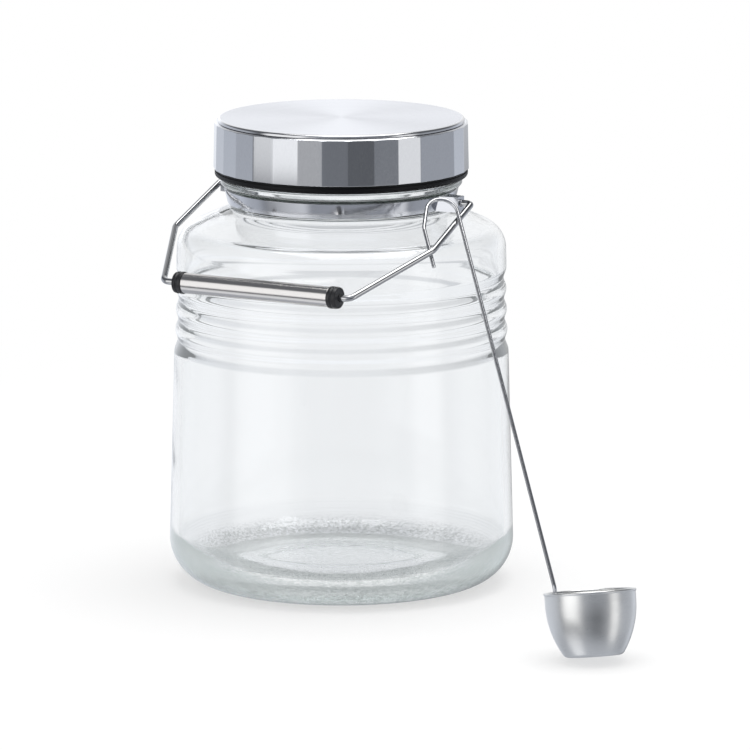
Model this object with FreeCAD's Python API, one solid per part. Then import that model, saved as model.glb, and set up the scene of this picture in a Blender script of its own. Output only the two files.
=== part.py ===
import FreeCAD, Part
import math
import os

V = FreeCAD.Vector

# Lidded glass canister: pressed glass jar, screw lid, neck strap with a bail handle, and a ladle.
# Millimetres. Origin at the centre of the base, +Z up, +X along the bail's hinge axis.
# The bail hangs towards -Y.

# ---- glass jar -------------------------------------------------------------
heel_plane_r = 86.7       # radius at which the tapered wall would meet the table
wall_taper = 0.0275       # radius lost per millimetre of height
heel_r = 22.5             # rounding between base and wall
glass_wall = 4.0
floor_thick = 4.5         # glass over the push-up
push_up = 5.0             # height of the hollow under the base
push_up_r = 38.5
push_up_step = 1.6        # step down round the push-up
push_up_step_w = 1.5
push_up_soften = 0.8
under_ring_r = 52.0       # outer edge of the nearly flat ring under the base
under_ring_z = 3.0
under_ring_soften = 3.0
bearing_r = 56.5          # inner edge of the flat ring the jar stands on
inner_heel_r = 18.0
inner_neck_r = 6.0
groove_count = 4
groove_pitch = 10.3
groove_depth = 1.9
groove_drop = 23.8        # from the shoulder corner down to the highest groove
groove_soften = 5.0
shoulder_z = 177.2        # height at which wall and shoulder cone would meet
shoulder_slope = 24.0     # degrees below horizontal
shoulder_r = 13.0
finish_r = 58.0           # threaded wall above the bead
finish_wall = 6.5
finish_height = 23.2      # bead to rim
neck_flare = 0.2533       # radius gained per millimetre, under the strap
neck_fillet = 2.5
bead_proud = 2.2
bead_height = 3.6
bead_round = 1.2
bead_crease = 0.5
mouth_round = 1.5

# ---- screw thread ----------------------------------------------------------
thread_lead = 8.0
thread_turns = 1.25
thread_height = 1.7
thread_base = 3.0
thread_crest = 1.4
thread_rise = 5.6         # from the bead up to the start of the jar's ridge
thread_play = 0.4         # along the axis, between the ridges
thread_gap = 0.77         # from a crest to the other part's wall
thread_root = 0.5         # how deep a ridge is rooted in its wall

# ---- neck strap ------------------------------------------------------------
strap_lift = 2.67         # from the neck's foot up to the strap
strap_height = 7.5
strap_thick = 0.8
strap_edge = 0.2
strap_fit = 0.1           # strap to glass
bead_gap = 1.5            # dark gap between strap and bead
ear_depth = 9.5           # how far an ear stands out of the strap
ear_base_w = 12.5
ear_tip_w = 6.4
hinge_rise = 4.4          # from the strap's lower edge up to the hinge axis
lap_angle = -34.0         # degrees, the visible end of the strap
lap_length = 14.0
lap_thick = 0.5

# ---- bail ------------------------------------------------------------------
wire_r = 1.6
bail_shift = 2.0          # the bail lies slid this far towards the right ear
bail_droop = 22.3         # degrees below horizontal, where the grip rests on the wall
corner_gap = 1.9          # from the left ear out to the bail's corner
knee_inset = 8.3          # bail's knee to the shoulder corner, along the hinge axis
knee_reach = 44.9
low_half = 52.7
corner_bend = 2.0
knee_bend = 8.0
low_bend = 4.5
head_r = 2.3
head_thick = 1.8
head_gap = 1.0            # from the right ear's sheet in to the upset head
hinge_play = 0.3          # wire to the hole in an ear
rest_gap = 0.3            # grip to glass where the bail rests

# ---- grip ------------------------------------------------------------------
grip_r = 5.1
grip_wall = 0.6
grip_edge = 0.2
grip_end_gap = 3.5        # from a cap to the start of the bail's bend, grip centred
grip_shift = 0.9          # the grip lies slid this far along the wire
grip_cap_proud = 0.4
grip_cap_len = 5.0
grip_cap_rib = 1.7
grip_cap_waist = 0.35
grip_cap_round = 0.4
grip_plug_len = 8.0
grip_play = 0.3
plug_fit = 0.05

# ---- lid -------------------------------------------------------------------
facet_count = 31
facet_phase = 1.0
shell_flare = 0.5         # corner radius gained from top to skirt
shell_bevel = 1.3
shell_bevel_drop = 0.9
shell_top = 0.8
shell_wall = 0.25         # sheet left on a flat at the top, where it is thinnest
plate_inset = 0.5
plate_height = 2.0
plate_sheet = 0.5
plate_round = 1.2
cap_fit = 0.1
cap_clear = 0.5           # from the bead up to the cap
cap_flange_proud = 0.55
cap_flange_drop = 2.8
cap_flange_round = 1.6
cap_lip_round = 0.5
cap_top_round = 1.0
cap_wall = 2.0
cap_disc = 1.9

# ---- stopper ---------------------------------------------------------------
stopper_inset = 0.5
stopper_thick = 1.4
stopper_edge = 0.4
plug_depth = 8.0
plug_wall = 1.5
plug_lead_in = 0.6
mouth_play = 0.3
seal_gap = 0.1

# ---- ladle -----------------------------------------------------------------
cup_stand_off = 110.1     # from the foot of the jar's wall out to the cup, shoulder flush with the bail
cup_lean_out = 3.0        # further out per millimetre that the shoulder passes the bail's corner
cup_way = -28.05          # direction from the jar to the cup, degrees from +X
cup_tilt = 11.0           # the cup leans this far, its base edge on the table
cup_tilt_way = 139.7      # direction it leans to, degrees from +X
cup_rim_r = 21.9
cup_base_r = 13.9
cup_height = 31.5
cup_belly_z = 13.1        # height at which side and base taper would meet
cup_belly_r = 46.0        # rounding of the cup's side
cup_wall = 0.6
cup_lip_r = 0.8
cup_base_round = 3.0
rod_r = 1.0
foot_way = 177.0          # where the handle leaves the cup, degrees from +X
rod_inside = 14.0         # length welded down the inside of the cup
rod_rise = 2.0            # from the rim up to the corner of the handle's foot bend
rod_seat = 0.05
rod_foot_bend = 5.0
cross_reach = 18.0        # where the handle crosses the bail arm, from its corner
lean_gap = 0.3            # handle to bail wire
crook_rise = 4.2          # straight handle above the crossing
crook_r = 8.0
crook_turn = 160.0
crook_roll = 3.0          # turn of the crook about the handle
leg_offset = 19.2
leg_drop = 25.4           # how far the crook's end hangs below the crossing
leg_bend = 6.0


def wall_r(z):
    """Outer radius of the tapered glass wall at a height."""
    return heel_plane_r - wall_taper * z


# Heights and radii of the jar's neck, from the shoulder up.
slope = math.tan(math.radians(shoulder_slope))
shoulder_corner_r = wall_r(shoulder_z)
neck_foot_r = finish_r - neck_flare * (strap_lift + strap_height + bead_gap)
neck_foot_z = shoulder_z + slope * (shoulder_corner_r - neck_foot_r)
strap_low_z = neck_foot_z + strap_lift
strap_top_z = strap_low_z + strap_height
bead_low_z = strap_top_z + bead_gap
bead_top_z = bead_low_z + bead_height
bead_r = finish_r + bead_proud
rim_z = bead_top_z + finish_height
mouth_r = finish_r - finish_wall


def neck_r(z):
    """Radius of the flaring neck at a height."""
    return neck_foot_r + neck_flare * (z - neck_foot_z)


# Strap and bail, from the neck out.
strap_low_r = neck_r(strap_low_z) + strap_fit
strap_top_r = neck_r(strap_top_z) + strap_fit
ear_reach = strap_top_r + strap_thick + ear_depth
hinge_z = strap_low_z + hinge_rise
droop = math.radians(bail_droop)
grip_contact_r = wall_r(hinge_z) + rest_gap + grip_r
low_reach = grip_contact_r / (math.cos(droop) - wall_taper * math.sin(droop))
corner_half = ear_reach + bail_shift + corner_gap
knee_half = shoulder_corner_r - knee_inset
head_half = ear_reach - strap_thick - bail_shift - head_gap

# Lid, from the thread out and up.
flat_share = math.cos(math.pi / facet_count)   # a flat's distance from the axis over a corner's
cap_bore_r = finish_r + thread_height + thread_gap
cap_r = cap_bore_r + cap_wall
shell_bore_r = cap_r + cap_fit
shell_top_r = (shell_bore_r + shell_wall) / flat_share
shell_low_r = shell_top_r + shell_flare
cap_low_z = bead_top_z + cap_clear
shell_low_z = cap_low_z + cap_flange_drop
stopper_low_z = rim_z + seal_gap
cap_top_z = stopper_low_z + stopper_thick + seal_gap + cap_disc
shell_top_z = cap_top_z + cap_fit + shell_top
plate_r = shell_top_r - shell_bevel - plate_inset

cup_lean = math.atan2(cup_rim_r - cup_base_r, cup_belly_z)
cup_reach = heel_plane_r + cup_stand_off + cup_lean_out * (shoulder_corner_r - corner_half)


def on_z(r, degrees, z):
    a = math.radians(degrees)
    return V(r * math.cos(a), r * math.sin(a), z)


def rounded_path(points, radii, closed=False):
    """Edges of a path through points, each corner rounded by a tangent arc of its radius."""
    count = len(points)
    entries = []
    for i, corner in enumerate(points):
        inner = closed or 0 < i < count - 1
        if not inner or radii[i] == 0:
            entries.append((corner, None, corner))
            continue
        back = (points[i - 1] - corner).normalize()
        ahead = (points[(i + 1) % count] - corner).normalize()
        half = 0.5 * back.getAngle(ahead)
        reach = radii[i] / math.tan(half)
        middle = (back + ahead).normalize() * (radii[i] / math.sin(half) - radii[i])
        entries.append((corner + back * reach, corner + middle, corner + ahead * reach))
    edges = []
    legs = count if closed else count - 1
    for i in range(count):
        start, middle, end = entries[i]
        if middle is not None:
            edges.append(Part.Arc(start, middle, end).toShape())
        following = entries[(i + 1) % count][0]
        if i < legs and (following - end).Length > 1e-4:
            edges.append(Part.makeLine(end, following))
    return edges


def turned(profile):
    """Solid of revolution about Z. The profile lists (radius, height, corner rounding)."""
    points = [V(r, 0, z) for r, z, rounding in profile]
    radii = [rounding for r, z, rounding in profile]
    wire = Part.Wire(rounded_path(points, radii, closed=True))
    return Part.Face(wire).revolve(V(0, 0, 0), V(0, 0, 1), 360)


def bent_rod(points, bends, radius):
    """Round wire along a path with rounded bends."""
    path = Part.Wire(rounded_path(points, bends))
    start = (points[1] - points[0]).normalize()
    ring = Part.Wire(Part.makeCircle(radius, points[0], start))
    return path.makePipeShell([ring], True, True)


def prism(outline, low_z, height):
    """Upright prism over a closed outline of (x, y) points."""
    points = [V(x, y, low_z) for x, y in outline]
    face = Part.Face(Part.makePolygon(points + [points[0]]))
    return face.extrude(V(0, 0, height))


def thread_ridge(root_r, crest_r, start_z):
    """Single-start helical ridge from a wall at root_r to its crest at crest_r."""
    out = 1 if crest_r > root_r else -1
    foot = root_r - out * thread_root
    section = [
        V(foot, 0, start_z - 0.5 * thread_base),
        V(root_r, 0, start_z - 0.5 * thread_base),
        V(crest_r, 0, start_z - 0.5 * thread_crest),
        V(crest_r, 0, start_z + 0.5 * thread_crest),
        V(root_r, 0, start_z + 0.5 * thread_base),
        V(foot, 0, start_z + 0.5 * thread_base),
    ]
    helix = Part.makeHelix(thread_lead, thread_lead * thread_turns, root_r)
    helix.translate(V(0, 0, start_z))
    wire = Part.makePolygon(section + [section[0]])
    return Part.Wire(helix.Edges).makePipeShell([wire], True, True)


def rib_outline():
    """Grooves round the upper wall, from the lowest to the highest."""
    first_z = shoulder_z - groove_drop - (groove_count - 1) * groove_pitch
    start_z = first_z - 0.5 * groove_pitch
    outline = [(wall_r(start_z), start_z, groove_soften)]
    for i in range(groove_count):
        groove_z = first_z + i * groove_pitch
        crest_z = groove_z + 0.5 * groove_pitch
        outline.append((wall_r(groove_z) - groove_depth, groove_z, groove_soften))
        outline.append((wall_r(crest_z), crest_z, groove_soften))
    return outline


def make_glass_jar():
    under = [
        (0, push_up, 0),
        (push_up_r, push_up, push_up_soften),
        (push_up_r + push_up_step_w, push_up - push_up_step, push_up_soften),
        (under_ring_r, under_ring_z, under_ring_soften),
        (bearing_r, 0, 0),
        (heel_plane_r, 0, heel_r),
    ]
    upper = [
        (shoulder_corner_r, shoulder_z, shoulder_r),
        (neck_foot_r, neck_foot_z, neck_fillet),
        (neck_r(bead_low_z), bead_low_z, bead_crease),
        (bead_r, bead_low_z, bead_round),
        (bead_r, bead_top_z, bead_round),
        (finish_r, bead_top_z, bead_crease),
        (finish_r, rim_z, mouth_round),
        (mouth_r, rim_z, mouth_round),
    ]
    inner_drop = glass_wall / math.cos(math.radians(shoulder_slope))
    inner_neck_z = shoulder_z + slope * (shoulder_corner_r - mouth_r) - inner_drop
    inner_shoulder_z = shoulder_z - inner_drop + slope * glass_wall
    floor_z = push_up + floor_thick
    inside = [
        (mouth_r, inner_neck_z, inner_neck_r),
        (wall_r(inner_shoulder_z) - glass_wall, inner_shoulder_z, shoulder_r - glass_wall),
        (wall_r(floor_z) - glass_wall, floor_z, inner_heel_r),
        (0, floor_z, 0),
    ]
    body = turned(under + rib_outline() + upper + inside)
    ridge = thread_ridge(finish_r, finish_r + thread_height, bead_top_z + thread_rise)
    return body.fuse(ridge)


def ear_outline(side, inset):
    """Plan of an ear, inset by the strap's thickness for its pocket."""
    root = strap_low_r - 0.5 * ear_base_w
    base = 0.5 * ear_base_w - inset
    tip = 0.5 * ear_tip_w - inset
    reach = ear_reach - inset
    corners = [(root, -base), (reach, -tip), (reach, tip), (root, base)]
    return [(side * x, y) for x, y in corners]


def make_lap():
    """Overlapping end of the strap, a second layer round part of it."""
    outside = strap_thick + lap_thick
    points = [
        V(strap_low_r + 0.5 * strap_thick, 0, strap_low_z),
        V(strap_low_r + outside, 0, strap_low_z),
        V(strap_top_r + outside, 0, strap_top_z),
        V(strap_top_r + 0.5 * strap_thick, 0, strap_top_z),
    ]
    face = Part.Face(Part.makePolygon(points + [points[0]]))
    sweep = math.degrees(lap_length / (strap_top_r + strap_thick))
    lap = face.revolve(V(0, 0, 0), V(0, 0, 1), -sweep)
    lap.rotate(V(0, 0, 0), V(0, 0, 1), lap_angle)
    return lap


def make_neck_band():
    band = turned([
        (strap_low_r, strap_low_z, 0),
        (strap_low_r + strap_thick, strap_low_z, strap_edge),
        (strap_top_r + strap_thick, strap_top_z, strap_edge),
        (strap_top_r, strap_top_z, 0),
    ])
    core = Part.makeCone(strap_low_r, strap_top_r, strap_height, V(0, 0, strap_low_z))
    for side in (-1, 1):
        ear = prism(ear_outline(side, 0), strap_low_z, strap_height).cut(core)
        pocket = prism(ear_outline(side, strap_thick), strap_low_z, strap_height)
        inside = V(side * (ear_reach - 2 * strap_thick), 0, hinge_z)
        hole = Part.makeCylinder(wire_r + hinge_play, 4 * strap_thick, inside, V(side, 0, 0))
        band = band.fuse(ear).cut(pocket).cut(hole)
    return band.fuse(make_lap()).removeSplitter()


def bail_point(along, reach):
    """Point of the drooping bail, along the hinge axis and away from it."""
    y = -reach * math.cos(droop)
    return V(along + bail_shift, y, hinge_z - reach * math.sin(droop))


def make_bail_wire():
    right = [(head_half, 0), (corner_half, 0), (knee_half, knee_reach), (low_half, low_reach)]
    left = [(-along, reach) for along, reach in reversed(right)]
    points = [bail_point(along, reach) for along, reach in right + left]
    bends = [0, corner_bend, knee_bend, low_bend, low_bend, knee_bend, corner_bend, 0]
    wire = bent_rod(points, bends, wire_r)
    for side in (-1, 1):
        start = V(side * (head_half - head_thick) + bail_shift, 0, hinge_z)
        wire = wire.fuse(Part.makeCylinder(head_r, head_thick, start, V(side, 0, 0)))
    return wire


def grip_tube_half():
    """Half the bare tube's length, from the straight of wire between the low bends."""
    turn = math.atan2(low_reach - knee_reach, knee_half - low_half)
    straight = low_half - low_bend * math.tan(0.5 * turn)
    return straight - grip_end_gap - grip_cap_len


def along_grip(shape, start, side):
    """Places a piece modelled along +Z on the grip's axis, from a start towards one side."""
    shape.rotate(V(0, 0, 0), V(0, 1, 0), 90 * side)
    centre = bail_point(grip_shift, low_reach)
    shape.translate(centre + V(side * start, 0, 0))
    return shape


def make_grip_tube():
    half = grip_tube_half()
    profile = [
        (grip_r - grip_wall, 0, 0),
        (grip_r, 0, grip_edge),
        (grip_r, 2 * half, grip_edge),
        (grip_r - grip_wall, 2 * half, 0),
    ]
    return along_grip(turned(profile), -half, 1)


def make_grip_cap(side):
    bore = wire_r + grip_play
    inside = grip_r - grip_wall - plug_fit
    rib_r = grip_r + grip_cap_proud
    waist_r = rib_r - grip_cap_waist
    profile = [
        (bore, -grip_plug_len, 0),
        (inside, -grip_plug_len, grip_cap_round),
        (inside, plug_fit, 0),
        (rib_r, plug_fit, grip_cap_round),
        (rib_r, grip_cap_rib, grip_cap_round),
        (waist_r, 0.5 * grip_cap_len, grip_cap_round),
        (rib_r, grip_cap_len - grip_cap_rib, grip_cap_round),
        (waist_r, grip_cap_len, grip_cap_round),
        (bore, grip_cap_len, 0),
    ]
    return along_grip(turned(profile), grip_tube_half(), side)


def facet_ring(radius, z):
    pitch = 360.0 / facet_count
    points = [on_z(radius, facet_phase + i * pitch, z) for i in range(facet_count)]
    return Part.makePolygon(points + [points[0]])


def make_lid_shell():
    bevel_z = shell_top_z - shell_bevel_drop
    rings = [facet_ring(shell_low_r, shell_low_z), facet_ring(shell_top_r, shell_top_z)]
    facets = Part.makeLoft(rings, True, True)
    envelope = turned([
        (0, shell_low_z, 0),
        (shell_low_r, shell_low_z, 0),
        (shell_low_r, bevel_z, 0),
        (shell_top_r, bevel_z, 0),
        (shell_top_r - shell_bevel, shell_top_z, 0),
        (0, shell_top_z, 0),
    ])
    bore_height = shell_top_z - shell_top - shell_low_z
    bore = Part.makeCylinder(shell_bore_r, bore_height, V(0, 0, shell_low_z))
    return facets.common(envelope).cut(bore)


def make_lid_top_plate():
    top_z = shell_top_z + plate_height
    return turned([
        (plate_r - plate_sheet, shell_top_z, 0),
        (plate_r, shell_top_z, 0),
        (plate_r, top_z, plate_round),
        (0, top_z, 0),
        (0, top_z - plate_sheet, 0),
        (plate_r - plate_sheet, top_z - plate_sheet, plate_round - plate_sheet),
    ])


def make_inner_cap():
    flange_r = cap_r + cap_flange_proud
    flange_z = shell_low_z - cap_fit
    body = turned([
        (cap_bore_r, cap_low_z, cap_lip_round),
        (flange_r, cap_low_z, cap_flange_round),
        (flange_r, flange_z, 0),
        (cap_r, flange_z, 0),
        (cap_r, cap_top_z, cap_top_round),
        (0, cap_top_z, 0),
        (0, cap_top_z - cap_disc, 0),
        (cap_bore_r, cap_top_z - cap_disc, 0),
    ])
    below = 0.5 * (thread_base + thread_crest) + thread_play
    start_z = bead_top_z + thread_rise - below
    return body.fuse(thread_ridge(cap_bore_r, cap_bore_r - thread_height, start_z))


def make_inner_stopper():
    plug_r = mouth_r - mouth_play
    stopper_r = finish_r - stopper_inset
    top_z = stopper_low_z + stopper_thick
    low_z = stopper_low_z - plug_depth
    return turned([
        (0, stopper_low_z, 0),
        (plug_r - plug_wall, stopper_low_z, 0),
        (plug_r - plug_wall, low_z, 0),
        (plug_r, low_z, plug_lead_in),
        (plug_r, stopper_low_z, 0),
        (stopper_r, stopper_low_z, stopper_edge),
        (stopper_r, top_z, stopper_edge),
        (0, top_z, 0),
    ])


def stand_cup(shape):
    """Tilts a piece modelled about the cup's axis and stands its base edge on the table."""
    tilt = math.radians(cup_tilt)
    corner = 0.5 * (0.5 * math.pi + cup_lean)
    foot_r = cup_base_r - cup_base_round / math.tan(corner)
    lift = foot_r * math.sin(tilt) + cup_base_round * (1 - math.cos(tilt))
    shape.rotate(V(0, 0, 0), on_z(1, cup_tilt_way + 90, 0), cup_tilt)
    shape.translate(on_z(cup_reach, cup_way, lift))
    return shape


def cup_side_r(height):
    """Outer radius of the cup's rounded side at a height."""
    centre_z = cup_belly_z + cup_belly_r * math.tan(0.5 * cup_lean)
    return cup_rim_r - cup_belly_r + math.sqrt(cup_belly_r ** 2 - (centre_z - height) ** 2)


def cup_point(r, height):
    """Point over the foot of the handle, given about the cup's own axis, placed with the cup."""
    return stand_cup(Part.Vertex(on_z(r, foot_way, height))).Point


def make_ladle_cup():
    inner_base_r = cup_base_r + cup_wall * math.tan(cup_lean) - cup_wall / math.cos(cup_lean)
    inner_belly_z = cup_belly_z + cup_wall * math.tan(0.5 * cup_lean)
    lip_z = cup_height - cup_lip_r
    cup = turned([
        (0, 0, 0),
        (cup_base_r, 0, cup_base_round),
        (cup_rim_r, cup_belly_z, cup_belly_r),
        (cup_rim_r, lip_z, 0),
        (cup_rim_r - cup_wall, lip_z, 0),
        (cup_rim_r - cup_wall, inner_belly_z, cup_belly_r - cup_wall),
        (inner_base_r, cup_wall, cup_base_round - cup_wall),
        (0, cup_wall, 0),
    ])
    lip = Part.makeTorus(cup_rim_r - 0.5 * cup_lip_r, cup_lip_r, V(0, 0, lip_z))
    return stand_cup(cup.fuse(lip))


def handle_crossing(rim):
    """Point of the handle beside the bail arm, with the handle's direction there."""
    corner = bail_point(corner_half, 0)
    arm = (bail_point(knee_half, knee_reach) - corner).normalize()
    crossing = corner + arm * cross_reach
    away = (crossing - rim).cross(arm).normalize()
    if away.x < 0:
        away = away * -1
    touch = crossing + away * (wire_r + rod_r + lean_gap)
    return touch, (touch - rim).normalize()


def crook_points(touch, up):
    """Corners of the crook and its leg, beyond the crossing."""
    level = up.cross(V(0, 0, 1)).normalize()
    if level.y > 0:
        level = level * -1
    roll = math.radians(crook_roll)
    side = level * math.cos(roll) + level.cross(up) * math.sin(roll)
    half_turn = math.radians(0.5 * crook_turn)
    reach = crook_r * math.tan(0.5 * half_turn)
    first = touch + up * (crook_rise + reach)
    top = side * math.sin(half_turn) + up * math.cos(half_turn)
    second = first + top * (2 * reach)
    splay = side * math.sin(2 * half_turn) + up * math.cos(2 * half_turn)
    covered = (second - touch).dot(side)
    third = second + splay * ((leg_offset - covered) / math.sin(2 * half_turn))
    end = third - up * ((third - touch).dot(up) + leg_drop)
    return [first, second, third, end]


def make_ladle_handle():
    rim = cup_point(cup_rim_r - 1.5 * cup_lip_r - rod_seat - rod_r, cup_height + rod_rise)
    deep = cup_height - rod_inside
    low = cup_point(cup_side_r(deep) - cup_wall - rod_seat - rod_r / math.cos(cup_lean), deep)
    points = [low, rim] + crook_points(*handle_crossing(rim))
    return bent_rod(points, [0, rod_foot_bend, crook_r, crook_r, leg_bend, 0], rod_r)


def main():
    pieces = {
        "glass_jar": make_glass_jar(),
        "neck_band": make_neck_band(),
        "bail_wire": make_bail_wire(),
        "grip_tube": make_grip_tube(),
        "left_grip_cap": make_grip_cap(-1),
        "right_grip_cap": make_grip_cap(1),
        "lid_shell": make_lid_shell(),
        "lid_top_plate": make_lid_top_plate(),
        "inner_cap": make_inner_cap(),
        "inner_stopper": make_inner_stopper(),
        "ladle_cup": make_ladle_cup(),
        "ladle_handle": make_ladle_handle(),
    }
    os.makedirs("parts", exist_ok=True)
    for name, shape in pieces.items():
        shape.exportStep("parts/" + name + ".step")


main()
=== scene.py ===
import math

import bmesh
import bpy
from mathutils import Matrix, Vector


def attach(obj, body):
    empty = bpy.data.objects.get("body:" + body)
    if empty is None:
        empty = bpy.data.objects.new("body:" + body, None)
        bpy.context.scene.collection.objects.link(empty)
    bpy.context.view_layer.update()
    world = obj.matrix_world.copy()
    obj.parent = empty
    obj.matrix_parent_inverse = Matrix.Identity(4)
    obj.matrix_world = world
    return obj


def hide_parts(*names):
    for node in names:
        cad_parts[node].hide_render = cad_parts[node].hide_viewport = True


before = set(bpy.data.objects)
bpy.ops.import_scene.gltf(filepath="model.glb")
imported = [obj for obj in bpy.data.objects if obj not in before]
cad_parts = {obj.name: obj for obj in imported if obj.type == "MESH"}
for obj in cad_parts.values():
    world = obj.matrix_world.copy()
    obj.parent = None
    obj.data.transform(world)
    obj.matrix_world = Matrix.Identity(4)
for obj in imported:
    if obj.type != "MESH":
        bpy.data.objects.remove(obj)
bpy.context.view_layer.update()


# Glass jar. One pressed soda-lime shell, four ribs rolled in by the mould below a round shoulder.
# The mould leaves a fine stipple round the heel and a knurled ring where the jar stands.
# The neck carries a bead for the strap and a single-start thread for the lid.
MM = 0.001
HEEL_PLANE_R, WALL_TAPER, HEEL_R = 86.7, 0.0275, 22.5
GLASS_WALL, FLOOR_THICK, FLOOR_ROUND = 4.0, 4.5, 18.0
PUSH_UP, PUSH_UP_R, PUSH_UP_EDGE_R, PUSH_UP_STEP, PUSH_UP_ROUND = 5.0, 38.5, 40.0, 1.6, 0.8
BASE_SLOPE_R, BASE_SLOPE_Z, BASE_ROUND, BEARING_R, BEARING_ROUND = 52.0, 3.0, 3.0, 56.5, 0.3
SHOULDER_Z, SHOULDER_SLOPE, SHOULDER_R = 177.2, math.radians(24), 13.0
RIB_COUNT, RIB_PITCH, RIB_DEPTH, RIB_DROP, RIB_SOFTEN = 4, 10.3, 1.9, 23.8, 5.0
FINISH_R, MOUTH_R, RIM_Z, RIM_ROUND, INNER_NECK_ROUND = 58.0, 51.5, 227.595, 1.5, 14.0
NECK_FOOT_R, NECK_FOOT_Z, NECK_FOOT_ROUND = 55.044, 189.125, 2.5
BEAD_R, BEAD_LOW_Z, BEAD_TOP_Z, BEAD_ROUND, BEAD_FOOT_ROUND = 60.2, 200.795, 204.395, 1.2, 0.5
THREAD_START_Z, THREAD_LEAD, THREAD_TURNS, THREAD_HEIGHT = 209.995, 8.0, 1.25, 1.7
THREAD_HALF_WIDE, THREAD_FLANK, THREAD_END_TURN = 1.5, 0.8, 1 / 24
THREAD_CLEAR_BEAD, THREAD_CLEAR_RIM = 1, 2
JAR_STEP, JAR_SEGMENTS = 0.6, 480


def wall_r(z):
    return HEEL_PLANE_R - WALL_TAPER * z


def rounded_profile(corners, step=math.radians(5)):
    """Points along a profile of (radius, height, rounding), each corner an arc of its rounding."""
    flat = [Vector((r, z)) for r, z, _ in corners]
    points = []
    for i, (corner, (_, _, rounding)) in enumerate(zip(flat, corners)):
        if rounding == 0 or i in (0, len(flat) - 1):
            points.append(corner)
            continue
        back = (flat[i - 1] - corner).normalized()
        ahead = (flat[i + 1] - corner).normalized()
        half = 0.5 * back.angle(ahead)
        middle = (back + ahead).normalized()
        centre = corner + middle * (rounding / math.sin(half))
        start = corner + back * (rounding / math.tan(half)) - centre
        turn = start.angle_signed(corner + ahead * (rounding / math.tan(half)) - centre)
        steps = max(2, math.ceil(abs(turn) / step))
        for k in range(steps + 1):
            angle = -turn * k / steps
            points.append(centre + Matrix.Rotation(angle, 2) @ start)
    return points


def divided(points, longest):
    """The same profile with its long straights cut into shorter runs."""
    result = [points[0]]
    for a, b in zip(points, points[1:]):
        runs = max(1, math.ceil((b - a).length / longest))
        result += [a.lerp(b, k / runs) for k in range(1, runs + 1)]
    return result


def turned(name, points, segments, shape=None, sharp=30):
    """A piece turned about Z from profile points in millimetres; shape may move each point."""
    mesh = bpy.data.meshes.new(name)
    bm = bmesh.new()
    columns = []
    for i in range(segments):
        angle = 2 * math.pi * i / segments
        column = []
        for j, (r, z) in enumerate(points):
            if r < 1e-6 and i:
                column.append(columns[0][j])
                continue
            if shape:
                r, z = shape(angle, r, z)
            spot = Vector((r * math.cos(angle), r * math.sin(angle), z)) * MM
            column.append(bm.verts.new(spot))
        columns.append(column)
    for i in range(segments):
        near, far = columns[i], columns[(i + 1) % segments]
        for j in range(len(points) - 1):
            ring = [near[j], far[j], far[j + 1], near[j + 1]]
            ring = [v for k, v in enumerate(ring) if v not in ring[:k]]
            if len(ring) > 2:
                bm.faces.new(ring)
    bmesh.ops.recalc_face_normals(bm, faces=bm.faces)
    bm.to_mesh(mesh)
    bm.free()
    mesh.shade_smooth()
    mesh.set_sharp_from_angle(angle=math.radians(sharp))
    piece = bpy.data.objects.new(name, mesh)
    bpy.context.scene.collection.objects.link(piece)
    return piece


def thread_swell(angle, r, z):
    """Pushes the neck's wall out where the thread winds round it."""
    low_end, high_end = BEAD_TOP_Z + THREAD_CLEAR_BEAD, RIM_Z - THREAD_CLEAR_RIM
    if r < FINISH_R - 0.01 or z < low_end or z > high_end:
        return r, z
    swell = 0
    for turn in range(2):
        wound = angle / (2 * math.pi) + turn
        if wound > THREAD_TURNS:
            continue
        end_fade = min(1, wound / THREAD_END_TURN, (THREAD_TURNS - wound) / THREAD_END_TURN)
        away = abs(z - THREAD_START_Z - THREAD_LEAD * wound)
        flank = min(1, max(0, THREAD_HALF_WIDE - away) / THREAD_FLANK)
        swell = max(swell, end_fade * flank)
    return r + THREAD_HEIGHT * swell, z


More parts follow.
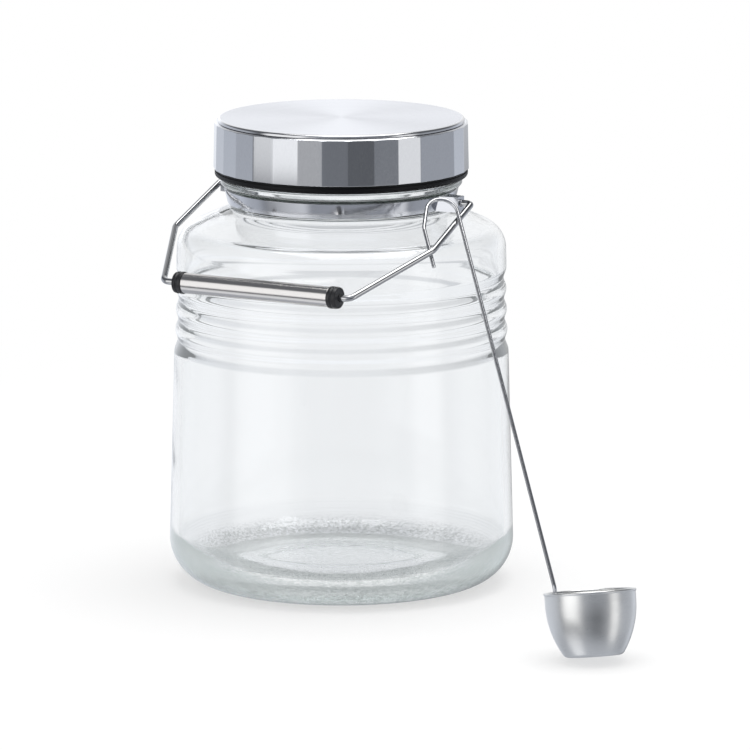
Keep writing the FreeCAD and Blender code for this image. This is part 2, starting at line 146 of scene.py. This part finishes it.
rib_low_z = SHOULDER_Z - RIB_DROP - (RIB_COUNT - 1) * RIB_PITCH
ribs = [(wall_r(rib_low_z - 0.5 * RIB_PITCH), rib_low_z - 0.5 * RIB_PITCH, RIB_SOFTEN)]
for i in range(RIB_COUNT):
    z = rib_low_z + i * RIB_PITCH
    ribs.append((wall_r(z) - RIB_DEPTH, z, RIB_SOFTEN))
    ribs.append((wall_r(z + 0.5 * RIB_PITCH), z + 0.5 * RIB_PITCH, RIB_SOFTEN))
slope = math.tan(SHOULDER_SLOPE)
inner_drop = GLASS_WALL / math.cos(SHOULDER_SLOPE)
inner_neck_z = SHOULDER_Z + slope * (wall_r(SHOULDER_Z) - MOUTH_R) - inner_drop
inner_shoulder_z = SHOULDER_Z - inner_drop + slope * GLASS_WALL
floor_z = PUSH_UP + FLOOR_THICK
jar_outline = [
    (0, PUSH_UP, 0),
    (PUSH_UP_R, PUSH_UP, PUSH_UP_ROUND),
    (PUSH_UP_EDGE_R, PUSH_UP - PUSH_UP_STEP, PUSH_UP_ROUND),
    (BASE_SLOPE_R, BASE_SLOPE_Z, BASE_ROUND),
    (BEARING_R, 0, BEARING_ROUND),
    (HEEL_PLANE_R, 0, HEEL_R),
    *ribs,
    (wall_r(SHOULDER_Z), SHOULDER_Z, SHOULDER_R),
    (NECK_FOOT_R, NECK_FOOT_Z, NECK_FOOT_ROUND),
    (FINISH_R, BEAD_LOW_Z, BEAD_FOOT_ROUND),
    (BEAD_R, BEAD_LOW_Z, BEAD_ROUND),
    (BEAD_R, BEAD_TOP_Z, BEAD_ROUND),
    (FINISH_R, BEAD_TOP_Z, BEAD_FOOT_ROUND),
    (FINISH_R, RIM_Z, RIM_ROUND),
    (MOUTH_R, RIM_Z, RIM_ROUND),
    (MOUTH_R, inner_neck_z, INNER_NECK_ROUND),
    (wall_r(inner_shoulder_z) - GLASS_WALL, inner_shoulder_z, SHOULDER_R - GLASS_WALL),
    (wall_r(floor_z) - GLASS_WALL, floor_z, FLOOR_ROUND),
    (0, floor_z, 0),
]
jar_profile = divided(rounded_profile(jar_outline), JAR_STEP)
jar = turned("pressed_glass_jar", jar_profile, JAR_SEGMENTS, shape=thread_swell, sharp=60)
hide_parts("glass_jar")
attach(jar, "jar")


def new_group(name, inputs, outputs):
    """An empty shader node group with float or vector sockets, and its two end nodes."""
    group = bpy.data.node_groups.new(name, "ShaderNodeTree")
    for label, kind, value in inputs:
        socket = group.interface.new_socket(label, in_out="INPUT", socket_type="NodeSocket" + kind)
        if value is not None:
            socket.default_value = value
    for label, kind in outputs:
        group.interface.new_socket(label, in_out="OUTPUT", socket_type="NodeSocket" + kind)
    return group, group.nodes.new("NodeGroupInput"), group.nodes.new("NodeGroupOutput")


class Nodes:
    """Short calls for placing nodes in one tree: a value given is set, a socket given is linked."""

    def __init__(self, tree):
        self.tree = tree

    def link(self, value, socket):
        if isinstance(value, bpy.types.NodeSocket):
            self.tree.links.new(value, socket)
        else:
            socket.default_value = value

    def add(self, kind, inputs=(), **settings):
        node = self.tree.nodes.new("ShaderNode" + kind)
        for key, value in settings.items():
            setattr(node, key, value)
        for key, value in dict(inputs).items():
            self.link(value, node.inputs[key])
        return node

    def math(self, operation, *values):
        node = self.add("Math", operation=operation)
        for value, socket in zip(values, node.inputs):
            self.link(value, socket)
        return node.outputs[0]

    def fade(self, value, low, high, to_low=0.0, to_high=1.0, kind="SMOOTHSTEP"):
        """A change from one value to another while the input goes from low to high."""
        node = self.add("MapRange", {"Value": value, "From Min": low, "From Max": high,
                                     "To Min": to_low, "To Max": to_high}, interpolation_type=kind)
        return node.outputs[0]

    def noise(self, point, scale, detail, roughness=0.5):
        node = self.add("TexNoise", {"Vector": point, "Scale": scale, "Detail": detail,
                                     "Roughness": roughness})
        return node.outputs[0]

    def mix(self, factor, a, b):
        node = self.add("Mix", {"Factor": factor, "A": a, "B": b}, data_type="RGBA")
        return node.outputs["Result"]

    def bump(self, height):
        """The surface normal over a relief whose height is in metres."""
        node = self.add("Bump", {"Height": height, "Distance": 1.0, "Strength": 1.0})
        return node.outputs[0]

    def group(self, group, inputs=()):
        node = self.add("Group", node_tree=group)
        for key, value in dict(inputs).items():
            self.link(value, node.inputs[key])
        return node


def new_material(name):
    material = bpy.data.materials.new(name)
    material.use_nodes = True
    nodes = Nodes(material.node_tree)
    return material, nodes, material.node_tree.nodes["Principled BSDF"]


def dress(piece, material):
    piece.data.materials.clear()
    piece.data.materials.append(material)


def place_group():
    """Place on a piece: distance from the jar's axis and height in millimetres, and the turn."""
    group, _, ends_out = new_group("place round the axis", [], [
        ("Radius", "Float"), ("Height", "Float"), ("Turn", "Float"), ("Point", "Vector")])
    n = Nodes(group)
    spot = n.add("TexCoord").outputs["Object"]
    point = n.add("VectorMath", {0: spot}, operation="SCALE")
    point.inputs["Scale"].default_value = 1 / MM
    parts = n.add("SeparateXYZ", {0: point.outputs[0]})
    x, y, z = parts.outputs
    radius = n.math("SQRT", n.math("ADD", n.math("MULTIPLY", x, x), n.math("MULTIPLY", y, y)))
    turn = n.math("DIVIDE", n.math("ARCTAN2", y, x), 2 * math.pi)
    for value, socket in zip((radius, z, turn, point.outputs[0]), ends_out.inputs):
        n.link(value, socket)
    return group


round_axis = place_group()
STIPPLE_HIGH, WAVE_HIGH, KNURL_HIGH, RIPPLE_HIGH = 0.00036, 0.00012, 0.0001, 0.0012
STIPPLE_FINE, WAVES_FINE, PATCHES_FINE, RIPPLE_FINE = 0.6, 0.045, 0.07, 0.25
STIPPLE_TOP_Z, STIPPLE_FULL_Z, HEEL_SHADE_TOP_Z, HEEL_SHADE_FULL_Z = 18, 7, 16, 6
KNURL_COUNT, RIPPLE_R, RIPPLE_WIDE = 180, 39.5, 3.0
# Where the painted shadow in the groove under the bead lies, and the clear tint and the dark tint
# that paints shade into the glass.
GROOVE_LOW_Z, GROOVE_TOP_Z, GROOVE_SOFT = 199.2, 201.0, 0.3
CLEAR_TINT, SHADED_TINT = (0.958, 0.966, 0.976, 1), (0.08, 0.11, 0.09, 1)
HEEL_GLOW, GLOW_TOP_Z, GLOW_FULL_Z = (0.285, 0.292, 0.294, 1), 60, 30
LAST_GLOSSY_BOUNCE, LAST_BOUNCE = 3.5, 11.5
glass, n, shader = new_material("pressed glass")
shader.inputs["Transmission Weight"].default_value = 1
shader.inputs["IOR"].default_value = 1.5
shader.inputs["Specular IOR Level"].default_value = 0.8
shader.inputs["Roughness"].default_value = 0
place = n.group(round_axis).outputs
stipple = n.noise(place["Point"], STIPPLE_FINE, 2.0)
waves = n.noise(place["Point"], WAVES_FINE, 1.0)
patches = n.noise(place["Point"], PATCHES_FINE, 1.0)
ripple = n.noise(place["Point"], RIPPLE_FINE, 2.0)

# Painted shade in the glass's tint: dark specks in the hollows of the mould's stipple on the heel,
# a painted shadow in the groove between strap and bead, and painted shade along the foot's under
# edge.
stipple_painted_shade = n.math("ADD", n.fade(stipple, 0.42, 0.53, 0.42, 0.0),
                 n.fade(patches, 0.45, 0.65, 0.16, 0.0))
heel_shade_zone = n.math("MULTIPLY", n.fade(place["Height"], HEEL_SHADE_TOP_Z, HEEL_SHADE_FULL_Z),
                   n.fade(place["Radius"], 52, 60, 0.1, 1.0))
groove_painted_shadow = n.math("MULTIPLY",
                n.fade(place["Height"], GROOVE_LOW_Z, GROOVE_LOW_Z + GROOVE_SOFT),
                n.fade(place["Height"], GROOVE_TOP_Z, GROOVE_TOP_Z - GROOVE_SOFT))
foot_painted_shade = n.fade(place["Height"], 3.2, 1.5, 0.0, 0.75)
# The strongest of the painted shade and shadow darkens the clear tint towards the dark one.
shade = n.math("MAXIMUM", n.math("MULTIPLY", stipple_painted_shade, heel_shade_zone),
               n.math("MAXIMUM", n.math("MULTIPLY", groove_painted_shadow, 0.9), foot_painted_shade))
n.link(n.mix(shade, CLEAR_TINT, SHADED_TINT), shader.inputs["Base Color"])

# Relief: the stipple low down, slow waves all over, the knurled ring, and the push-up's ripple.
stippled = n.math("MULTIPLY", stipple, n.fade(place["Height"], STIPPLE_TOP_Z, STIPPLE_FULL_Z))
knurl = n.math("SINE", n.math("MULTIPLY", place["Turn"], 2 * math.pi * KNURL_COUNT))
bearing = n.math("MULTIPLY", n.fade(place["Radius"], 54, 57), n.fade(place["Height"], 2.0, 0.5))
from_ripple = n.math("ABSOLUTE", n.math("SUBTRACT", place["Radius"], RIPPLE_R))
ripple_ring = n.math("MULTIPLY", n.fade(from_ripple, RIPPLE_WIDE, 0.5),
                     n.fade(place["Height"], 13, 11))
skin_relief = n.math("ADD", n.math("MULTIPLY", stippled, STIPPLE_HIGH),
                     n.math("MULTIPLY", waves, WAVE_HIGH))
base_relief = n.math("ADD", n.math("MULTIPLY", n.math("MULTIPLY", knurl, bearing), KNURL_HIGH),
                     n.math("MULTIPLY", n.math("MULTIPLY", ripple, ripple_ring), RIPPLE_HIGH))
n.link(n.bump(n.math("ADD", skin_relief, base_relief)), shader.inputs["Normal"])

# Light trapped in the thick heel runs out of bounces and would end black. The last bounce adds
# a pale glow in its place, strongest in the heel.
path = n.add("LightPath").outputs
spent = n.math("MAXIMUM", n.math("GREATER_THAN", path["Glossy Depth"], LAST_GLOSSY_BOUNCE),
               n.math("GREATER_THAN", path["Ray Depth"], LAST_BOUNCE))
glow_share = n.fade(place["Height"], GLOW_TOP_Z, GLOW_FULL_Z, 0.35, 1.0)
glow = n.add("Emission", {"Color": HEEL_GLOW, "Strength": n.math("MULTIPLY", spent, glow_share)})
glass_surface = n.add("AddShader", {0: shader.outputs[0], 1: glow.outputs[0]})
glass.cycles.emission_sampling = "NONE"
absorption = n.add("VolumeAbsorption", {"Color": (0.80, 0.95, 0.90, 1), "Density": 4.0})
output = glass.node_tree.nodes["Material Output"]
n.link(glass_surface.outputs[0], output.inputs["Surface"])
n.link(absorption.outputs[0], output.inputs["Volume"])
dress(jar, glass)


# Neck strap. A thin stainless strip bent round the neck under the bead. Its two ears are folded
# out of the strip, and its ends are lapped at the front right.
GRAIN_HIGH, GRAIN_ROUND = 0.0001, 30
SMUDGE_SHARE, STREAK_SHARE = 0.35, 0.65
STREAK_DARK = (0.93, 0.93, 0.94)


def grain_group():
    """Rolling or drawing grain: fine scratches drawn out along one direction of the piece."""
    group, ends_in, ends_out = new_group("drawn grain", [
        ("Vector", "Vector", None), ("Fineness", "Float", 8.0), ("Depth", "Float", 0.3)], [
        ("Height", "Float"), ("Streaks", "Float"), ("Smudges", "Float")])
    n = Nodes(group)
    along = ends_in.outputs["Vector"]
    fine = n.noise(along, ends_in.outputs["Fineness"], 3.0, roughness=0.65)
    smudge = n.noise(along, 0.06, 2.0)
    relief = n.math("MULTIPLY", n.math("MULTIPLY", fine, ends_in.outputs["Depth"]), GRAIN_HIGH)
    n.link(relief, ends_out.inputs["Height"])
    n.link(n.fade(fine, 0.3, 0.7), ends_out.inputs["Streaks"])
    n.link(n.fade(smudge, 0.35, 0.65), ends_out.inputs["Smudges"])
    return group


drawn_grain = grain_group()


def steel(name, colour, dull, bright, fineness, depth, stretch, anisotropy=0.0, around=False):
    """Stainless steel whose grain runs along one axis, or round the jar's axis."""
    material, n, shader = new_material(name)
    place = n.group(round_axis).outputs
    source = place["Point"]
    if around:
        unrolled = {"X": place["Radius"], "Y": n.math("MULTIPLY", place["Turn"], GRAIN_ROUND),
                    "Z": place["Height"]}
        source = n.add("CombineXYZ", unrolled).outputs[0]
    stretched = n.add("Mapping", {"Vector": source, "Scale": stretch}).outputs[0]
    grain = n.group(drawn_grain, {
        "Vector": stretched, "Fineness": fineness, "Depth": depth}).outputs
    worn = n.math("MULTIPLY_ADD", grain["Smudges"], SMUDGE_SHARE,
                  n.math("MULTIPLY", grain["Streaks"], STREAK_SHARE))
    n.link(n.fade(worn, 0, 1, bright, dull, kind="LINEAR"), shader.inputs["Roughness"])
    streaked = tuple(part * dark for part, dark in zip(colour, STREAK_DARK))
    tone = n.mix(grain["Streaks"], (*streaked, 1), (*colour, 1))
    n.link(tone, shader.inputs["Base Color"])
    shader.inputs["Metallic"].default_value = 1
    n.link(n.bump(grain["Height"]), shader.inputs["Normal"])
    if anisotropy:
        shader.inputs["Anisotropic"].default_value = anisotropy
        tangent = n.add("Tangent", direction_type="RADIAL", axis="Z")
        n.link(tangent.outputs[0], shader.inputs["Tangent"])
    return material


strap_steel = steel("rolled strap steel", (0.72, 0.73, 0.76), 0.13, 0.08, 3.0, 0.006,
                    (1, 0.4, 8), around=True)
dress(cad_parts["neck_band"], strap_steel)


# Bail. One length of drawn stainless wire, bent into a stepped bow. Its ends are upset into heads
# inside the strap's ears, in which it turns.
wire_steel = steel("drawn wire steel", (0.58, 0.58, 0.58), 0.13, 0.07, 3.0, 0.012, (0.3, 1, 1))
dress(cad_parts["bail_wire"], wire_steel)


# Grip. A tube rolled from bright stainless sheet, the part that the hand closes round.
# It is slipped on the bail's low straight run before the wire is bent, and turns freely on it.
tube_steel = steel("rolled tube steel", (0.72, 0.70, 0.68), 0.22, 0.13, 4.0, 0.04, (0.05, 1, 1))
dress(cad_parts["grip_tube"], tube_steel)


# Grip end caps. Two small plugs with raised rings, moulded in black nylon with a satin skin.
# They are pushed into the tube's ends, where they keep its edges off the wire and the hand.
PORE_HIGH = 0.00002


def plastic(name, colour, dull, bright, texture, gloss=0.5):
    """Moulded plastic with the fine pores that its mould leaves in the skin."""
    material, n, shader = new_material(name)
    place = n.group(round_axis).outputs
    pores = n.noise(place["Point"], texture, 2.0)
    n.link(n.fade(pores, 0.3, 0.7, bright, dull), shader.inputs["Roughness"])
    shader.inputs["Base Color"].default_value = (*colour, 1)
    shader.inputs["Specular IOR Level"].default_value = gloss
    n.link(n.bump(n.math("MULTIPLY", pores, PORE_HIGH)), shader.inputs["Normal"])
    return material


black_nylon = plastic("black nylon", (0.012, 0.012, 0.014), 0.45, 0.3, 2.0)
dress(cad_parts["left_grip_cap"], black_nylon)
dress(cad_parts["right_grip_cap"], black_nylon)


# Stopper. A disc moulded in soft white polyethylene, with a plug that drops into the mouth.
# It rests loose on the glass rim, and the lid presses it down to seal the jar.
white_plug = plastic("white polyethylene", (0.80, 0.81, 0.80), 0.4, 0.25, 0.5)
dress(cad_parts["inner_stopper"], white_plug)


# Inner cap. The threaded insert of the lid, moulded in black polypropylene and pushed up into the
# shell. Its flange is the dark band that shows under the shell's lower edge.
black_cap = plastic("black polypropylene", (0.004, 0.004, 0.005), 0.5, 0.4, 1.0, gloss=0.2)
dress(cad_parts["inner_cap"], black_cap)


# Lid shell. Stainless sheet pressed into thirty-one flats with soft corners. Its top edge is
# rolled over in a narrow bevel, and its lower edge is hemmed just above the black flange.
FACETS, FACET_PHASE, SHELL_LOW_R, SHELL_TOP_R = 31, math.radians(1.0), 63.644, 63.144
SHELL_LOW_Z, SHELL_TOP_Z, SHELL_BORE_R = 208.895, 231.995, 62.57
BEVEL_DEEP, BEVEL_HIGH, CORNER_SOFT, HEM = 1.0, 0.6, 5.0, 0.35
CORNER_STEPS, FLAT_STEPS, HEM_STEPS, BEVEL_STEPS = 3, 8, 4, 8
INNER_SKIRT, PLATE_SEAT_R = 2, 50.0
half_facet = math.pi / FACETS


def facet_outline(corner_r, limit, z):
    """One level of the shell: flats joined by soft corners, held inside a limiting radius."""
    inner = corner_r - CORNER_SOFT / math.cos(half_facet)
    corners = []
    for i in range(FACETS):
        way = FACET_PHASE + 2 * half_facet * i
        middle = Vector((math.cos(way), math.sin(way))) * inner
        turns = [way + half_facet * (k / CORNER_STEPS - 1) for k in range(2 * CORNER_STEPS + 1)]
        corners.append([middle + CORNER_SOFT * Vector((math.cos(t), math.sin(t))) for t in turns])
    outline = []
    for corner, ahead in zip(corners, corners[1:] + corners[:1]):
        flat = [corner[-1].lerp(ahead[0], k / FLAT_STEPS) for k in range(1, FLAT_STEPS)]
        outline += corner + flat
    held = [p * min(1, limit / p.length) for p in outline]
    return [Vector((p.x, p.y, z)) * MM for p in held]


def ringed(name, rings):
    """A skin over closed rings of equal count, with the last ring filled."""
    bm = bmesh.new()
    loops = [[bm.verts.new(p) for p in ring] for ring in rings]
    for low, high in zip(loops, loops[1:]):
        for i in range(len(low)):
            j = (i + 1) % len(low)
            bm.faces.new((low[i], low[j], high[j], high[i]))
    bm.faces.new(loops[-1])
    bmesh.ops.recalc_face_normals(bm, faces=bm.faces)
    mesh = bpy.data.meshes.new(name)
    bm.to_mesh(mesh)
    bm.free()
    mesh.shade_smooth()
    mesh.set_sharp_from_angle(angle=math.radians(25))
    piece = bpy.data.objects.new(name, mesh)
    bpy.context.scene.collection.objects.link(piece)
    return piece


rings = [facet_outline(SHELL_LOW_R, SHELL_BORE_R, SHELL_LOW_Z + INNER_SKIRT)]
for k in range(HEM_STEPS + 1):
    turn = 0.5 * math.pi * k / HEM_STEPS
    inset = HEM * (1 - math.sin(turn))
    limit = SHELL_BORE_R if k == 0 else SHELL_LOW_R
    z = SHELL_LOW_Z + HEM * (1 - math.cos(turn))
    rings.append(facet_outline(SHELL_LOW_R - inset, limit, z))
for k in range(BEVEL_STEPS + 1):
    z = SHELL_TOP_Z - BEVEL_HIGH * (1 - k / BEVEL_STEPS)
    rings.append(facet_outline(SHELL_TOP_R, SHELL_TOP_R - BEVEL_DEEP * k / BEVEL_STEPS, z))
rings.append(facet_outline(SHELL_TOP_R, PLATE_SEAT_R, SHELL_TOP_Z))
shell = ringed("pressed_lid_shell", rings)
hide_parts("lid_shell")
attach(shell, "lid")
shell_steel = steel("pressed shell steel", (0.66, 0.67, 0.69), 0.17, 0.09, 3.0, 0.02,
                    (1, 1, 0.2))
dress(shell, shell_steel)


# Lid top plate. A stainless disc seated on the shell, turned and then brushed in circles.
# Its edge is rolled down and polished bright, and the edge's steel is painted a darker colour than
# the face as shade along the rim.
PLATE_R, PLATE_TOP_Z, PLATE_LOW_Z = 61.344, 233.995, SHELL_TOP_Z + 0.05
PLATE_ROUND, PLATE_LOW_ROUND, PLATE_LIP = 1.2, 0.35, 1.2
PLATE_STEP, PLATE_SEGMENTS = 3, 256
plate_outline = [
    (0, PLATE_TOP_Z, 0),
    (PLATE_R, PLATE_TOP_Z, PLATE_ROUND),
    (PLATE_R, PLATE_LOW_Z, PLATE_LOW_ROUND),
    (PLATE_R - PLATE_LIP, PLATE_LOW_Z, 0),
]
plate_profile = divided(rounded_profile(plate_outline, step=math.radians(9)), PLATE_STEP)
plate = turned("turned_top_plate", plate_profile, PLATE_SEGMENTS, sharp=60)
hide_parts("lid_top_plate")
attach(plate, "lid")
face_steel = steel("turned plate steel", (0.76, 0.77, 0.80), 0.33, 0.27, 3.0, 0.03,
                   (6, 0.2, 1), anisotropy=0.6, around=True)
rim_steel_painted_shade = steel("polished rim steel with painted shade", (0.66, 0.66, 0.67), 0.16, 0.08, 3.0, 0.02,
                  (1, 0.3, 1), around=True)
plate.data.materials.append(face_steel)
plate.data.materials.append(rim_steel_painted_shade)
# The edge's faces take the darker steel, whose colour is painted shade.
for face in plate.data.polygons:
    if face.center.xy.length > (PLATE_R - PLATE_ROUND) * MM:
        face.material_index = 1


# Ladle cup. A small measuring cup spun from thin stainless sheet over a former.
# Its lip is rolled over, and its skin keeps the satin finish of the spinning.
cup_steel = steel("spun cup steel", (0.88, 0.88, 0.86), 0.36, 0.26, 2.5, 0.08, (1, 1, 3))
dress(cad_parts["ladle_cup"], cup_steel)


# Ladle handle. One length of thin stainless wire, fixed down the inside of the cup's wall.
# Its top end is bent round to the open hook that hangs on the bail.
ladle_steel = steel("thin wire steel", (0.64, 0.64, 0.65), 0.16, 0.08, 3.0, 0.01, (1, 1, 0.2))
dress(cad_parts["ladle_handle"], ladle_steel)


# Studio. A white table with a white sweep behind it, softboxes to both sides of the camera, and a
# dark room behind it. All of it is soft and plain, made in the world's light and one lamp.
CAMERA_SIDE = math.radians(-60.5)
ROOM_LIGHT, ROOM_COLOUR = 0.15, (0.93, 0.98, 1.08)
WHITE = (1, 1, 1, 1)


def panel_group():
    """Mask of one softbox in the room, by the direction it is seen in."""
    group, ends_in, ends_out = new_group("studio panel", [
        ("Azimuth", "Float", 0.0), ("Elevation", "Float", 0.0), ("Centre", "Float", 0.0),
        ("Half Width", "Float", 20.0), ("Low", "Float", -10.0), ("High", "Float", 50.0),
        ("Softness", "Float", 8.0)], [("Mask", "Float")])
    n = Nodes(group)
    i = ends_in.outputs
    soft = i["Softness"]
    away = n.math("WRAP", n.math("SUBTRACT", i["Azimuth"], i["Centre"]), 180.0, -180.0)
    across = n.fade(n.math("ABSOLUTE", away), n.math("ADD", i["Half Width"], soft),
                    n.math("SUBTRACT", i["Half Width"], soft))
    above = n.fade(i["Elevation"], n.math("SUBTRACT", i["Low"], soft),
                   n.math("ADD", i["Low"], soft))
    below = n.fade(i["Elevation"], n.math("ADD", i["High"], soft),
                   n.math("SUBTRACT", i["High"], soft))
    mask = n.math("MULTIPLY", n.math("MULTIPLY", across, above), below)
    n.link(mask, ends_out.inputs["Mask"])
    return group


studio_panel = panel_group()
world = bpy.data.worlds.new("studio")
bpy.context.scene.world = world
world.use_nodes = True
n = Nodes(world.node_tree)
direction = n.add("SeparateXYZ", {0: n.add("TexCoord").outputs["Generated"]}).outputs
turn = n.math("DEGREES", n.math("ARCTAN2", direction[1], direction[0]))
azimuth = n.math("SUBTRACT", turn, math.degrees(CAMERA_SIDE))
elevation = n.math("DEGREES", n.math("ARCSINE", direction[2]))


def panel(centre, half_width, low, high, softness, strength):
    """A soft panel, placed in degrees round from the camera's side and up from level."""
    mask = n.group(studio_panel, {
        "Azimuth": azimuth, "Elevation": elevation, "Centre": centre,
        "Half Width": half_width, "Low": low, "High": high, "Softness": softness})
    return n.math("MULTIPLY", mask.outputs[0], strength)


def added(*lights):
    total = lights[0]
    for light in lights[1:]:
        total = n.math("ADD", total, light)
    return total


softboxes = added(panel(-56, 21, -18, 34, 6, 1.12),
                  panel(-62, 25, -60, -32, 6, 0.48),
                  panel(-30, 6, -28, 24, 4, 0.38),
                  panel(62, 12, -34, 20, 6, 0.92),
                  panel(180, 27, -8, 44, 16, 0.84))
walls = added(panel(-135, 45, -32, 14, 10, 0.42),
              panel(-142, 24, -32, 14, 8, 0.12),
              panel(115, 38, -32, 10, 10, 0.32),
              panel(142, 14, -32, 14, 10, 0.25),
              panel(38, 9, -32, 10, 6, 0.12),
              panel(-14, 12, -32, 14, 6, 0.10),
              panel(0, 181, -91, -36, 10, 0.36),
              panel(0, 40, 12, 50, 12, 0.40),
              ROOM_LIGHT)
sweep = n.math("MAXIMUM", panel(180, 85, -22, 3, 6, 0.97), panel(0, 181, -91, -52, 6, 0.92))
wall_light = n.add("VectorMath", {0: ROOM_COLOUR}, operation="SCALE")
n.link(walls, wall_light.inputs["Scale"])
room = n.add("VectorMath", {0: wall_light.outputs[0], 1: softboxes}, operation="ADD").outputs[0]

# What the metal sees is the room as it is. Glass shows it paler and with the white sweep, matt
# surfaces get an even light from it, and the camera sees plain white.
paler = n.add("VectorMath", {0: room, 1: (0.45, 0.45, 0.45), 2: (0.53, 0.53, 0.53)},
              operation="MULTIPLY_ADD").outputs[0]
path = n.add("LightPath").outputs
seen = n.mix(path["Is Transmission Ray"], room, n.mix(sweep, paler, WHITE))
lit = n.mix(path["Is Diffuse Ray"], seen, (0.75, 0.75, 0.75, 1))
shown = n.mix(path["Is Camera Ray"], lit, WHITE)
n.link(shown, world.node_tree.nodes["Background"].inputs["Color"])

TABLE_R, TABLE_DROP = 1.6, 0.0003
SHADOW_R, SWEEP_R = 0.25, 0.7
bm = bmesh.new()
bmesh.ops.create_circle(bm, cap_ends=True, cap_tris=True, segments=96, radius=TABLE_R)
table_mesh = bpy.data.meshes.new("white_table")
bm.to_mesh(table_mesh)
bm.free()
table = bpy.data.objects.new("white_table", table_mesh)
table.location = (0, 0, -TABLE_DROP)
bpy.context.scene.collection.objects.link(table)

# The table's white keeps the shadow near the jar and runs out into the backdrop's plain white.
white, n, shader = new_material("white table")
shader.inputs["Base Color"].default_value = (0.9, 0.9, 0.9, 1)
shader.inputs["Roughness"].default_value = 0.8
shader.inputs["Specular IOR Level"].default_value = 0.0
glow = n.add("Emission", {"Color": WHITE, "Strength": 1.0})
spot = n.add("SeparateXYZ", {0: n.add("TexCoord").outputs["Object"]}).outputs
reach = n.math("SQRT", n.math("ADD", n.math("POWER", spot[0], 2.0), n.math("POWER", spot[1], 2.0)))
share = n.fade(n.fade(reach, SHADOW_R, SWEEP_R), 0, 1, 0.6, 1.0)
path = n.add("LightPath").outputs
top = n.add("MixShader", {0: share, 1: shader.outputs[0], 2: glow.outputs[0]})
clear = n.add("BsdfTransparent")
passed = n.math("MAXIMUM", path["Is Glossy Ray"], path["Is Transmission Ray"])
floor = n.add("MixShader", {0: passed, 1: top.outputs[0], 2: clear.outputs[0]})
n.link(floor.outputs[0], white.node_tree.nodes["Material Output"].inputs["Surface"])
dress(table, white)


def aimed(item, place, aim):
    """Puts a lamp or camera in the scene at its place, turned to face its aim."""
    holder = bpy.data.objects.new(item.name, item)
    holder.location = place
    holder.rotation_euler = (Vector(aim) - Vector(place)).to_track_quat("-Z", "Y").to_euler()
    bpy.context.scene.collection.objects.link(holder)
    return holder


overhead = bpy.data.lights.new("overhead_softbox", "AREA")
overhead.shape = "SQUARE"
overhead.size = 1.2
overhead.energy = 14
overhead.specular_factor = 0.0
aimed(overhead, place=(0.1, 0.1, 1.5), aim=(0, 0, 0.12))

lens = bpy.data.cameras.new("camera")
lens.lens = 372
lens.sensor_width = 36
lens.dof.use_dof = False
lens.clip_end = 50
camera = aimed(lens, place=(1.8907, -3.3078, 0.810), aim=(0.01458, 0.00825, 0.1036))
bpy.context.scene.camera = camera
bpy.context.scene.view_settings.view_transform = "Standard"
